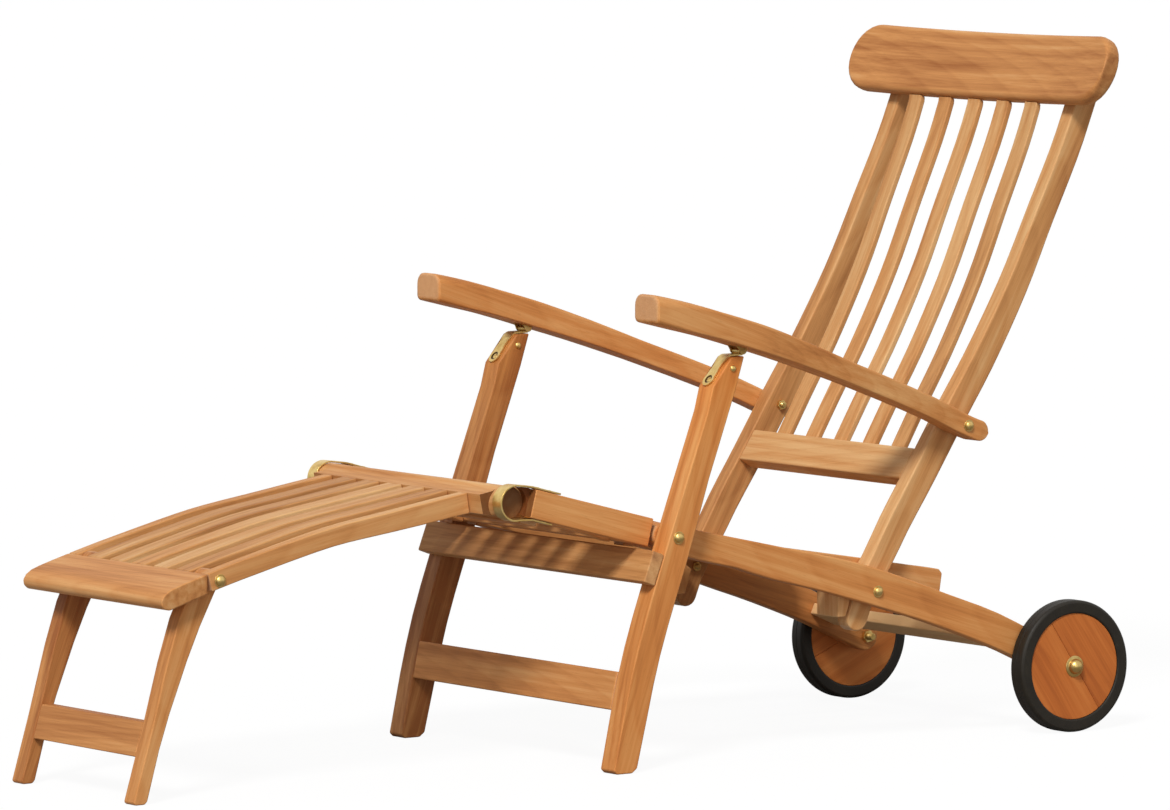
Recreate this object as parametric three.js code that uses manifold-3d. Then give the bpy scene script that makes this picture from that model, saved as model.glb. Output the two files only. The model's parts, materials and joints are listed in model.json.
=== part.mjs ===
// Steamer deck chair, in millimetres. Origin on the floor under the middle of the chair.
// +X runs to the wheels, +Z is up, and the sitter's left side is at -Y.
import * as THREE from "three";
import Module from "manifold-3d";
import { mergeVertices } from "three/addons/utils/BufferGeometryUtils.js";

const wasm = await Module();
wasm.setup();

// Driving dimensions
const GAP = 0.4;
const PIVOT = [15, 307];
const STILE_PIN = [361, 210];
const ARM_PIN = [505, 426];
const ARM_HINGE = [125, 547];
const KNEE = [-216, 364];
const FOOT_PIN = [-634, 285];
const AXLE = [666, 90];
const PIN_R = 4;
const HOLE_R = PIN_R + 0.1;
const AXLE_R = 5;
const AXLE_HOLE_R = AXLE_R + 0.08;
const ROUND = 24;

// Layers across the chair, as distances from its middle plane
const LEG = [241.5, 275];
const WHEEL_RAIL = [216.5, 241];
const STILE = [190.5, 216];
const SEAT_RAIL = [166, 190];
const OUTER_RAIL = [217, 241];
const WHEEL = [245, 273];
const FOOT_RAIL = [156, 176];
const FOOT_LEG = [129.5, 155.5];
const KNEE_STRAP = [OUTER_RAIL[0], 238];
const ARM_STRAP = [248, 268];

const root = new THREE.Group();
const finish = (color, roughness, metalness = 0) => {
  return new THREE.MeshStandardMaterial({ color, roughness, metalness });
};
const TEAK = finish(0xc88a4e, 0.6);
const BRASS = finish(0xb9954a, 0.35, 1);
const RUBBER = finish(0x23211f, 0.7);

// Outlines are lists of [x, z] points, anticlockwise as seen from the left side.
const add = (a, b, k = 1) => [a[0] + b[0] * k, a[1] + b[1] * k];
const mix = (a, b, t) => a + (b - a) * t;

function smooth(points, steps) {
  const line = new THREE.SplineCurve(points.map((p) => new THREE.Vector2(...p)));
  return line.getSpacedPoints(steps).map((p) => [p.x, p.y]);
}

function arc(centre, radius, from, to, steps) {
  const points = [];
  for (let i = 0; i <= steps; i++) {
    const a = THREE.MathUtils.degToRad(mix(from, to, i / steps));
    points.push([centre[0] + radius * Math.cos(a), centre[1] + radius * Math.sin(a)]);
  }
  return points;
}

const circle = (centre, radius, steps = ROUND) => arc(centre, radius, 0, 360, steps).slice(0, -1);

// The unit normals of a line, on its left-hand side.
function normals(line) {
  return line.map((_, i) => {
    const a = line[Math.max(i - 1, 0)];
    const b = line[Math.min(i + 1, line.length - 1)];
    const length = Math.hypot(b[0] - a[0], b[1] - a[1]);
    return [-(b[1] - a[1]) / length, (b[0] - a[0]) / length];
  });
}

// A bar along a line, reaching up and down from it, with square or round ends.
function bar(line, up, down, roundStart = false, roundEnd = false) {
  const side = normals(line);
  const last = line.length - 1;
  const at = (value, i) => (typeof value === "function" ? value(i / last) : value);
  const top = line.map((p, i) => add(p, side[i], at(up, i)));
  const low = line.map((p, i) => add(p, side[i], -at(down, i)));
  const turn = (i) => THREE.MathUtils.radToDeg(Math.atan2(side[i][1], side[i][0]));
  const outline = [...low];
  if (roundEnd) {
    outline.push(...arc(line[last], at(up, last), turn(last) - 180, turn(last), 10).slice(1, -1));
  }
  outline.push(...top.reverse());
  if (roundStart) {
    outline.push(...arc(line[0], at(up, 0), turn(0), turn(0) + 180, 10).slice(1, -1));
  }
  return outline;
}

// The stretch of a line between two values of x, or of z.
function stretch(line, from, to, axis = 0) {
  const at = (value) => {
    const i = line.findIndex((p, k) => k && p[axis] >= value);
    const t = (value - line[i - 1][axis]) / (line[i][axis] - line[i - 1][axis]);
    return [mix(line[i - 1][0], line[i][0], t), mix(line[i - 1][1], line[i][1], t)];
  };
  return [at(from), ...line.filter((p) => p[axis] > from + 3 && p[axis] < to - 3), at(to)];
}

// A flat piece with this outline, from y0 to y1, with round holes through it.
function slab(outline, y0, y1, holes = []) {
  const shape = new THREE.Shape(outline.map((p) => new THREE.Vector2(...p)));
  for (const [centre, radius] of holes) {
    shape.holes.push(new THREE.Path(circle(centre, radius).map((p) => new THREE.Vector2(...p))));
  }
  const geometry = new THREE.ExtrudeGeometry(shape, { depth: y1 - y0, bevelEnabled: false });
  return geometry.rotateX(Math.PI / 2).translate(0, y1, 0);
}

// A solid through a row of matching convex rings, whichever way round they run.
function loft(rows) {
  const v = (p) => new THREE.Vector3(...p);
  const [a0, b0, c0] = rows[0].slice(0, 3).map(v);
  const facing = b0.sub(a0).cross(c0.sub(a0)).dot(v(rows[rows.length - 1][0]).sub(v(rows[0][0])));
  const rings = facing > 0 ? rows : rows.map((ring) => [...ring].reverse());
  const count = rings[0].length;
  const points = rings.flat().flatMap((p) => p);
  const faces = [];
  for (let r = 0; r < rings.length - 1; r++) {
    for (let i = 0; i < count; i++) {
      const a = r * count + i;
      const b = r * count + ((i + 1) % count);
      faces.push(a, b, b + count, a, b + count, a + count);
    }
  }
  const end = (rings.length - 1) * count;
  for (let i = 1; i < count - 1; i++) {
    faces.push(0, i + 1, i, end, end + i, end + i + 1);
  }
  const geometry = new THREE.BufferGeometry();
  geometry.setAttribute("position", new THREE.Float32BufferAttribute(points, 3));
  geometry.setIndex(faces);
  return geometry;
}

// A turned piece about a pin across the chair; the profile lists [radius, y] outwards.
function turned(centre, profile, steps = 12) {
  const line = profile.map(([r, y]) => new THREE.Vector2(r, y));
  const geometry = new THREE.LatheGeometry(line, steps);
  return geometry.translate(centre[0], 0, centre[1]);
}

function solid(geometry) {
  let flat = geometry.clone();
  flat.deleteAttribute("normal");
  flat.deleteAttribute("uv");
  flat = mergeVertices(flat, 1e-4);
  const mesh = new wasm.Mesh({
    numProp: 3,
    vertProperties: Float32Array.from(flat.attributes.position.array),
    triVerts: Uint32Array.from(flat.index.array),
  });
  return new wasm.Manifold(mesh);
}

function shell(manifold) {
  const mesh = manifold.getMesh();
  const geometry = new THREE.BufferGeometry();
  geometry.setAttribute("position", new THREE.Float32BufferAttribute(mesh.vertProperties, 3));
  geometry.setIndex([...mesh.triVerts]);
  return geometry;
}

const join = (a, b) => shell(solid(a).add(solid(b)));
const cut = (a, b) => shell(solid(a).subtract(solid(b)));

function put(name, geometry, material = TEAK) {
  const mesh = new THREE.Mesh(geometry, material);
  mesh.name = name;
  root.add(mesh);
}

// The same piece on both sides; the geometry given is the right-hand one, at +Y.
function pair(name, geometry, material = TEAK) {
  put(`${name}_right`, geometry, material);
  const left = geometry.clone().scale(1, -1, 1);
  const index = left.index ? [...left.index.array] : null;
  if (index) {
    for (let i = 0; i < index.length; i += 3) [index[i], index[i + 1]] = [index[i + 1], index[i]];
    left.setIndex(index);
  } else {
    const p = left.attributes.position;
    for (let i = 0; i < p.count; i += 3) {
      const a = [p.getX(i), p.getY(i), p.getZ(i)];
      p.setXYZ(i, p.getX(i + 1), p.getY(i + 1), p.getZ(i + 1));
      p.setXYZ(i + 1, ...a);
    }
  }
  put(`${name}_left`, left, material);
}

// A dome-headed bolt: the head outside at y1, the nut and the thread's end inside at y0.
function bolt(centre, y0, y1, radius, head, nut) {
  const profile = [
    [0, y0 - nut - 3],
    [radius - 1, y0 - nut - 3],
    [radius, y0 - nut - 2],
    [radius, y0 - nut],
    [radius * 1.75, y0 - nut],
    [radius * 1.75, y0],
    [radius, y0],
    [radius, y1],
    [head + 1.5, y1],
    [head + 1.5, y1 + 1.2],
    [head, y1 + 1.2],
    [head * 0.92, y1 + 2.6],
    [head * 0.7, y1 + 4.2],
    [head * 0.38, y1 + 5.2],
    [0, y1 + 5.6],
  ];
  return turned(centre, profile);
}

// Front leg frame
const legLine = smooth([[-73, 0], [-36, 150], [21, 307], [72, 440], [110, 541.5]], 14);
const legRear = (t) => mix(19, 14.5, Math.min(1, Math.max(0, (t - 0.54) / 0.18)));
const legBar = bar(legLine, 19, legRear);
const legFront = legBar.slice(16, 28).filter((p) => p[1] < 490 && p[1] > 12);
const legOutline = [
  [-86, 0],
  [-62, 0],
  [-54, 6],
  ...legBar.slice(2, 14),
  [123.5, 541.5],
  [103, 541.5],
  [72, 503],
  ...legFront,
  [-91, 5],
];
pair("leg", slab(legOutline, ...LEG, [[PIVOT, HOLE_R]]));
const apron = [[-23.5, 245.4], [-7.8, 286], [-25.2, 292.6], [-41.1, 252]];
put("apron", slab(apron, -275, 275));
const legStretcher = [[-73.9, 82.2], [-54.4, 78.2], [-42.9, 127.7], [-62.4, 132.2]];
put("leg_stretcher", slab(legStretcher, -LEG[0] + GAP, LEG[0] - GAP));

// Wheel frame
const wheelLine = smooth(
  [PIVOT, [60, 294], [200, 258], [325, 227], [440, 188.5], [540, 150], [610, 118], AXLE],
  22,
);
const hump = (t, from, to) => Math.sin(Math.PI * Math.min(1, Math.max(0, (t - from) / (to - from))));
const wheelRailHalf = (t) => 17 + 5.5 * hump(t, 0, 0.87) + 3 * t;
const wheelRailUp = (t) => wheelRailHalf(t) + 4 * hump(t, 0.7, 1);
const wheelRailDown = (t) => wheelRailHalf(t) - 5 * hump(t, 0.1, 0.55) + hump(t, 0.7, 1);
const wheelRail = bar(wheelLine, wheelRailUp, wheelRailDown, true, true);
const wheelRailHoles = [[PIVOT, HOLE_R], [STILE_PIN, HOLE_R], [AXLE, AXLE_HOLE_R]];
pair("wheel_rail", slab(wheelRail, ...WHEEL_RAIL, wheelRailHoles));
const rearStretcher = [[570, 128.3], [611.8, 109.2], [618.5, 123.9], [576.7, 143]];
put("rear_stretcher", slab(rearStretcher, -WHEEL_RAIL[0] + GAP, WHEEL_RAIL[0] - GAP));
const stopBlock = [[313, 176.5], [325.3, 176.5], [334.5, 203], [337, 209.5], [325, 218.6], [313, 221]];
pair("stop_block", slab(stopBlock, SEAT_RAIL[0], WHEEL_RAIL[0] - GAP));

// Seat
const SEAT_SLAT = 12;
const seatTop = smooth(
  [[-191, 382], [-150, 371], [-87, 354], [6, 329], [103, 304], [189, 283.5], [270, 268], [364, 252],
    [428, 240], [506, 226.8]],
  26,
);
const outerTop = stretch(seatTop, -186.2, -1);
const outerRail = bar(outerTop, 0, 38);
pair("seat_outer_rail", slab(outerRail, ...OUTER_RAIL));
const seatFront = bar(stretch(seatTop, -186.2, -160), 0, 44);
put("seat_front_rail", slab(seatFront, -OUTER_RAIL[0] + GAP, OUTER_RAIL[0] - GAP));
const seatMid = [[-36, 301], [-16, 296], [-16, 321.5], [-36, 326.5]];
put("seat_middle_rail", slab(seatMid, -OUTER_RAIL[0] + GAP, OUTER_RAIL[0] - GAP));
const railTop = stretch(seatTop, -159.4, 505.5);
const seatRailDepth = (t) => (t < 0.55 ? 38 : mix(38, 31, Math.min(1, (t - 0.55) / 0.2)));
const seatRailBar = bar(railTop, 0, seatRailDepth);
const lowCount = railTop.length;
const seatRailLow = seatRailBar.slice(0, lowCount).filter((p) => p[0] < -45 || p[0] > -8);
const notchAt = seatRailLow.findIndex((p) => p[0] > -8);
seatRailLow.splice(notchAt, 0, [-36.5, 298], [-36.5, 327], [-15.5, 321.8], [-15.5, 292]);
const seatRailHigh = seatRailBar.slice(lowCount);
const seatRail = [...seatRailLow, [504.6, 221.3], [499.5, 227.3], ...seatRailHigh.slice(1)];
pair("seat_rail", slab(seatRail, ...SEAT_RAIL, [[PIVOT, HOLE_R]]));
const slatTop = stretch(seatTop, -159.4, 487);
const seatRear = bar(stretch(seatTop, 458, 486), -SEAT_SLAT - GAP, 30);
put("seat_rear_rail", slab(seatRear, -SEAT_RAIL[0] + GAP, SEAT_RAIL[0] - GAP));
const seatSlat = bar(slatTop, 0, SEAT_SLAT);
const SEAT_SLAT_WIDTH = 34;
const SEAT_SLAT_PITCH = 56;
for (let i = 0; i < 5; i++) {
  const y = (i - 2) * SEAT_SLAT_PITCH;
  put(`seat_slat_${i + 1}`, slab(seatSlat, y - SEAT_SLAT_WIDTH / 2, y + SEAT_SLAT_WIDTH / 2));
}

// Backrest
const stileLine = smooth(
  [[345, 172], [361, 210], [390, 254], [418, 300], [456, 356], [511, 440], [561, 514], [617, 609],
    [662, 700], [705, 786], [732, 850], [757, 912]],
  30,
);
const STILE_TOP = 869.5;
const stileHalf = (t) => 16.5 + 2.5 * Math.sin(Math.PI * Math.min(1, t * 1.4));
const stile = bar(stretch(stileLine, 172, STILE_TOP, 1), stileHalf, stileHalf, true, true);
pair("stile", slab(stile, ...STILE, [[STILE_PIN, HOLE_R], [ARM_PIN, HOLE_R]]));
// A strip between two heights, set back from the stile's front edge by one depth at its foot
// and another at its top.
const setBack = (from, to, thick, foot, top = foot) => {
  const line = stretch(stileLine, from, to, 1);
  return bar(line, (t) => 17 - mix(foot, top, t), (t) => mix(foot, top, t) + thick - 17);
};
put("back_lower_rail", slab(setBack(345, 384.5, 25.5, -1), -STILE[0] + GAP, STILE[0] - GAP));

// The headrest board's frame: its lean, its middle and how far it bows at a distance y
const HEAD = { centre: [720, 895.3], lean: 24.2, half: 295, tall: 48.3, corner: 42, thick: 24 };
const HEAD_BOW = 4.5;
const headLean = THREE.MathUtils.degToRad(HEAD.lean);
const headUp = [Math.sin(headLean), Math.cos(headLean)];
const headOut = [-Math.cos(headLean), Math.sin(headLean)];
const bowAt = (y) => HEAD_BOW * ((y / 190) ** 2 - 1);

// Back slats: from the lower rail's top edge to the middle of the headrest's lower edge
const BACK_SLAT_PITCH = 67.4;
const BACK_SLAT_WIDTH = 28.5;
const BACK_SLAT_THICK = 8.5;
const headFoot = add(HEAD.centre, headUp, -HEAD.tall - GAP);
const underHead = (p) => {
  const over = (p[0] - headFoot[0]) * headUp[0] + (p[1] - headFoot[1]) * headUp[1];
  return over > 0 ? add(p, headUp, -over) : p;
};
for (let i = 0; i < 5; i++) {
  const y = (i - 2) * BACK_SLAT_PITCH;
  const top = -(HEAD.thick + BACK_SLAT_THICK) / 2 - bowAt(y);
  const outline = setBack(385, 858, BACK_SLAT_THICK, 10, top).map(underHead);
  put(`back_slat_${i + 1}`, slab(outline, y - BACK_SLAT_WIDTH / 2, y + BACK_SLAT_WIDTH / 2));
}

// Headrest board: curved across, with round ends
function headrest() {
  const flat = HEAD.half - HEAD.corner;
  const corner = [];
  for (let i = 0; i <= 7; i++) {
    const turn = (Math.PI / 2) * (i / 7);
    corner.push([flat + HEAD.corner * Math.sin(turn), HEAD.corner * (1 - Math.cos(turn))]);
  }
  const middle = [];
  for (let i = 1; i < 12; i++) middle.push([mix(-flat, flat, i / 12), 0]);
  const stations = [...corner.map(([y, drop]) => [-y, drop]).reverse(), ...middle, ...corner];
  const t = HEAD.thick / 2;
  return loft(stations.map(([y, drop]) => {
    const half = HEAD.tall - drop;
    const e = Math.min(5, half / 2);
    const ring = [
      [-half + e, -t], [half - e, -t], [half, -t + e], [half, t - e],
      [half - e, t], [-half + e, t], [-half, t - e], [-half, -t + e],
    ];
    return ring.map(([s, d]) => {
      const p = add(add(HEAD.centre, headUp, s), headOut, d + bowAt(y));
      return [p[0], y, p[1]];
    });
  }));
}
put("headrest", headrest());

// Footrest
const FOOT_SLAT = 10;
const BOARD_REAR = -652;
const footTop = smooth(
  [[-722, 270], [-700, 280.5], [-679, 287.3], [-633, 300.3], [-602, 308.6], [-478, 339.2], [-369, 360.8],
    [-285, 374.5], [-251, 379.5]],
  20,
);
const footRailDepth = (t) => mix(24.5, 27.5, Math.min(1, Math.max(0, (t - 0.5) / 0.35)));
const footRail = bar(stretch(footTop, BOARD_REAR + GAP, -252), 0, footRailDepth);
pair("footrest_rail", slab(footRail, ...FOOT_RAIL, [[FOOT_PIN, HOLE_R]]));
const footBoard = [
  [-709, 251], [BOARD_REAR, 268.5], [BOARD_REAR, 295], [-679, 287.3], [-698, 281.5], [-710, 277],
  [-718, 271.5], [-722.5, 264.5], [-721.5, 257.5], [-716.5, 252.5],
];
put("footrest_board", slab(footBoard, -FOOT_RAIL[1], FOOT_RAIL[1]));
const KNEE_SHOULDER = 13;
const KNEE_RECESS = 13;
const kneeBlockHalf = KNEE_STRAP[0] - KNEE_SHOULDER;
const kneeHalf = KNEE_STRAP[1] - KNEE_RECESS;
const KNEE_R = 21.5;
const kneeBlock = [
  [-246.4, 353], [-230, 349], ...arc(KNEE, KNEE_R, 226, 490, 22).slice(1, -1), [-230, 381.7],
  [-251.2, 379],
];
const kneeSection = [[0, -kneeHalf], [KNEE_R, -kneeHalf], [KNEE_R, kneeHalf], [0, kneeHalf]];
const kneeBar = turned(KNEE, kneeSection, 36);
put("knee_rail", join(slab(kneeBlock, -kneeBlockHalf, kneeBlockHalf), kneeBar));
const footSlat = bar(stretch(footTop, BOARD_REAR + GAP, -252), 0, FOOT_SLAT);
const FOOT_SLAT_WIDTH = 34;
const FOOT_SLAT_CLEAR = 1.5;
const footSlatPitch = (FOOT_LEG[0] - FOOT_SLAT_CLEAR - FOOT_SLAT_WIDTH / 2) / 2;
for (let i = 0; i < 5; i++) {
  const y = (i - 2) * footSlatPitch;
  put(`footrest_slat_${i + 1}`, slab(footSlat, y - FOOT_SLAT_WIDTH / 2, y + FOOT_SLAT_WIDTH / 2));
}

// Footrest legs
const footLeg = [
  [-756, 3], [-753, 0], [-739, 0], [-735, 4], [-716, 69], [-700, 114], [-672, 182], [-652, 225],
  [-629, 268], ...arc(FOOT_PIN, 13.5, -48, 180, 12), [-648.5, 268], [-672, 260.8], [-684, 236],
  [-703, 180], [-729, 90],
];
pair("footrest_leg", slab(footLeg, ...FOOT_LEG, [[FOOT_PIN, HOLE_R]]));
const footStretcher = [[-738, 59.5], [-722, 59.5], [-708.3, 104], [-724.3, 104]];
put("footrest_stretcher", slab(footStretcher, -FOOT_LEG[0] + GAP, FOOT_LEG[0] - GAP));

// Armrests: deeper and wider in front, tapering in plan, with a round rear end
const armLine = [[-23, 611], [16, 601.5], [73, 586], [137, 566.8], [211, 542], [294, 511.5],
  [383, 478], [448, 452], ARM_PIN, [525.5, 418]];
function armrest() {
  const line = smooth(armLine, 20);
  const side = normals(line);
  const rings = [];
  const ring = (p, n, half, inner, outer) => {
    const e = Math.min(4, half / 2);
    const low = (y, s) => {
      const q = add(p, n, s);
      return [q[0], y, q[1]];
    };
    return [
      low(inner, -half + e), low(inner + e, -half), low(outer - e, -half), low(outer, -half + e),
      low(outer, half - e), low(outer - e, half), low(inner + e, half), low(inner, half - e),
    ];
  };
  const span = (x) => {
    const t = Math.min(1, Math.max(0, (x - 150) / 340));
    return [mix(236, 216.6, t), mix(293, 252.5, t)];
  };
  const depth = (x) => {
    const front = mix(39, 35, Math.min(1, Math.max(0, (x + 10) / 80)));
    return mix(front, 28, Math.min(1, Math.max(0, (x - 137) / 163))) / 2;
  };
  line.forEach((p, i) => {
    let half = depth(p[0]);
    let [inner, outer] = span(p[0]);
    if (i === 0) {
      [4.5, 1.5].forEach((back, k) => {
        const q = [p[0] - back + 1, p[1] + back * 0.27];
        rings.push(ring(q, side[0], half - [5, 2][k], inner + [7, 3][k], outer - [7, 3][k]));
      });
      return;
    }
    rings.push(ring(p, side[i], half, inner, outer));
  });
  const tip = line[line.length - 1];
  const n = side[side.length - 1];
  const along = [n[1], -n[0]];
  const r = depth(tip[0]);
  [0.3, 0.55, 0.78, 0.93].forEach((k) => {
    const [inner, outer] = span(tip[0]);
    const q = add(tip, along, k * r);
    rings.push(ring(q, n, r * Math.sqrt(1 - k * k), inner + k * 1.5, outer - k * 1.5));
  });
  return loft(rings);
}
const armHole = turned(ARM_PIN, [[0, 200], [HOLE_R, 200], [HOLE_R, 300], [0, 300]], ROUND);
pair("armrest", cut(armrest(), armHole));

// Wheels
const wheelProfile = (profile) => [...profile, profile[0]];
const tyre = wheelProfile([
  [72.9, WHEEL[0] + 1.5], [76, WHEEL[0]], [86, WHEEL[0]], [89, WHEEL[0] + 2.5],
  [90, WHEEL[0] + 7], [90, WHEEL[1] - 7], [89, WHEEL[1] - 2.5], [86, WHEEL[1]],
  [76, WHEEL[1]], [72.9, WHEEL[1] - 1.5],
]);
const disc = wheelProfile([
  [AXLE_HOLE_R, WHEEL[0] + 1], [70.5, WHEEL[0] + 1], [72.5, WHEEL[0] + 3],
  [72.5, WHEEL[1] - 4.5], [70.5, WHEEL[1] - 2.5], [AXLE_HOLE_R, WHEEL[1] - 2.5],
]);
pair("tyre", turned(AXLE, tyre, 44), RUBBER);
pair("wheel_disc", turned(AXLE, disc, 44));

// Brass hardware
const domeRod = [
  [0, -LEG[1] - 5.6], [2.6, -LEG[1] - 5.2], [4.9, -LEG[1] - 4.2], [6.4, -LEG[1] - 2.6],
  [7, -LEG[1] - 1.2], [8.5, -LEG[1] - 1.2], [8.5, -LEG[1] - 0.3], [PIN_R, -LEG[1] - 0.3],
];
const mirrored = domeRod.map(([r, y]) => [r, -y]).reverse();
put("pivot_rod", turned(PIVOT, [...domeRod, ...mirrored]), BRASS);
pair("stile_bolt", bolt(STILE_PIN, STILE[0] - 0.3, WHEEL_RAIL[1] + 0.3, PIN_R, 6.5, 3), BRASS);
pair("arm_bolt", bolt(ARM_PIN, STILE[0] - 0.3, 252.8, PIN_R, 6.5, 5), BRASS);
const FOOT_ROD_R = PIN_R - 0.8;
const footRodHead = [[7.5, 0.3], [7.5, 1.5], [6, 1.5], [5.4, 3], [3.6, 4.6], [0, 5.4]];
const footRodHalf = [
  [FOOT_ROD_R, FOOT_LEG[0] - 1], [PIN_R, FOOT_LEG[0] - 1], [PIN_R, FOOT_RAIL[1] + 0.3],
  ...footRodHead.map(([r, y]) => [r, FOOT_RAIL[1] + y]),
];
const footRod = [...footRodHalf.map(([r, y]) => [r, -y]).reverse(), ...footRodHalf];
put("footrest_rod", turned(FOOT_PIN, footRod), BRASS);
const HUB_FLANGE_R = 14.5;
const HUB_DOME_R = 10.6;
const axleProfile = [
  [0, WHEEL_RAIL[0] - 17], [AXLE_R - 1, WHEEL_RAIL[0] - 17], [AXLE_R, WHEEL_RAIL[0] - 16],
  [AXLE_R, WHEEL_RAIL[0] - 7], [9, WHEEL_RAIL[0] - 7], [9, WHEEL_RAIL[0] - 0.3],
  [AXLE_R, WHEEL_RAIL[0] - 0.3], [AXLE_R, WHEEL_RAIL[1] + 0.3], [9, WHEEL_RAIL[1] + 0.3],
  [9, WHEEL[0] + 0.5], [AXLE_R, WHEEL[0] + 0.5], [AXLE_R, WHEEL[1] - 2],
  [HUB_FLANGE_R, WHEEL[1] - 2], [HUB_FLANGE_R, WHEEL[1] - 0.6], [HUB_DOME_R, WHEEL[1] - 0.6],
  [HUB_DOME_R, WHEEL[1] + 2.5], [HUB_DOME_R * 0.9, WHEEL[1] + 5.6],
  [HUB_DOME_R * 0.66, WHEEL[1] + 8.2], [HUB_DOME_R * 0.34, WHEEL[1] + 9.7], [0, WHEEL[1] + 10.2],
];
pair("wheel_axle", turned(AXLE, axleProfile), BRASS);

// Knee straps: a band round the knee rail with its leaves over and under the outer seat rail
const BAND = 2.4;
const strapLine = [
  [-146, 370.7], [-168, 376.6], [-190, 382.8], ...arc(KNEE, KNEE_R + 0.5, 78, 282, 22), [-190, 341.8],
  [-176, 338], [-160, 333.6],
];
pair("knee_strap", slab(bar(strapLine, 0, BAND), ...KNEE_STRAP), BRASS);

// Arm hinge straps: knuckle on the leg's top, strap over the bevel, round-headed screw
function armStrap() {
  const line = [[125, 543.3], [103.2, 543.6], [97.3, 537.4], [84.5, 521], [76.5, 511], [71, 504.2]];
  const side = normals(line);
  const wide = [10, 10, 10, 10, 10, 4.5];
  const middle = (ARM_STRAP[0] + ARM_STRAP[1]) / 2;
  const rings = line.map((p, i) => {
    const top = add(p, side[i], -1.1);
    const low = add(p, side[i], 1.1);
    return [
      [top[0], middle - wide[i], top[1]], [top[0], middle + wide[i], top[1]],
      [low[0], middle + wide[i], low[1]], [low[0], middle - wide[i], low[1]],
    ];
  });
  const knuckle = turned(ARM_HINGE, [[0, 246], [4.4, 246], [4.4, 270], [0, 270]]);
  return join(loft(rings), knuckle);
}
pair("arm_strap", armStrap(), BRASS);

export default root;
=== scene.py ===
# Steamer deck chair: the shaped pieces, their materials, the floor, the light and the camera.
# Lengths are in millimetres, and MM turns them into metres.
import json
import math
import random

import bmesh
import bpy
from mathutils import Matrix, Vector


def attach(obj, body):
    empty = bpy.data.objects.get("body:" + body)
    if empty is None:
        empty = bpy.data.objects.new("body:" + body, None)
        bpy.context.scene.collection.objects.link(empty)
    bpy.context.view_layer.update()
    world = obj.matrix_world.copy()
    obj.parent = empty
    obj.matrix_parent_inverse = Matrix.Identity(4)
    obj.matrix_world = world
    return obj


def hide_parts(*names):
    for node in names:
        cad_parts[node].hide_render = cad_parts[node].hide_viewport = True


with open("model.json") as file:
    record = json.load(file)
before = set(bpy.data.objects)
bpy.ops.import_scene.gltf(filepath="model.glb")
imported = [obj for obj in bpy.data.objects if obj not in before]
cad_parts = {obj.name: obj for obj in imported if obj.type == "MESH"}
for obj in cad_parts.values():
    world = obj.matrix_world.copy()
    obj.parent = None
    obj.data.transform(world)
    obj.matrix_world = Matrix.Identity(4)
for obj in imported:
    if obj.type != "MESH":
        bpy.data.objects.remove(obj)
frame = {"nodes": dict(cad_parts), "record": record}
NODES = frame["nodes"]
BODY_OF = {n: b for b, names in frame["record"]["behaviour"]["bodies"].items() for n in names}
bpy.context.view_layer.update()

MM = 0.001
SIDES = (("left", -1), ("right", 1))

# Pins, as in the part's source: x and z
PIVOT = (15, 307)
STILE_PIN = (361, 210)
ARM_PIN = (505, 426)
FOOT_PIN = (-634, 285)
AXLE = (666, 90)
KNEE = (-216, 364)
ARM_HINGE = (125, 547)
LEG_PIN = (104.5, 526)

# Layers across the chair, as distances from its middle plane
LEG = (241.5, 275)
WHEEL_RAIL = (216.5, 241)
STILE = (190.5, 216)
FOOT_RAIL = (156, 176)
FOOT_LEG = (129.5, 155.5)
WHEEL = (245, 273)
ARM_STRAP = (248, 268)


def rgb(red, green, blue):
    """A colour as written on a screen, from 0 to 255, as linear light."""
    values = []
    for value in (red, green, blue):
        part = value / 255
        values.append(part / 12.92 if part <= 0.04045 else ((part + 0.055) / 1.055) ** 2.4)
    return (*values, 1.0)


def grey(value):
    """A grey as linear light, from 0 to 1."""
    return (value, value, value, 1.0)


def mix(a, b, t):
    """From a to b while t runs from 0 to 1, and level beyond."""
    return a + (b - a) * min(1.0, max(0.0, t))


def smooth(t):
    """From 0 to 1 while t does the same, slowly at both ends."""
    return t * t * (3 - 2 * t)


def circle(centre, radius, count, turn=0.0):
    """Evenly spaced points on a circle in the side view, the first at this angle."""
    angles = [turn + 2 * math.pi * i / count for i in range(count)]
    return [(centre[0] + radius * math.cos(a), centre[1] + radius * math.sin(a)) for a in angles]


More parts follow.
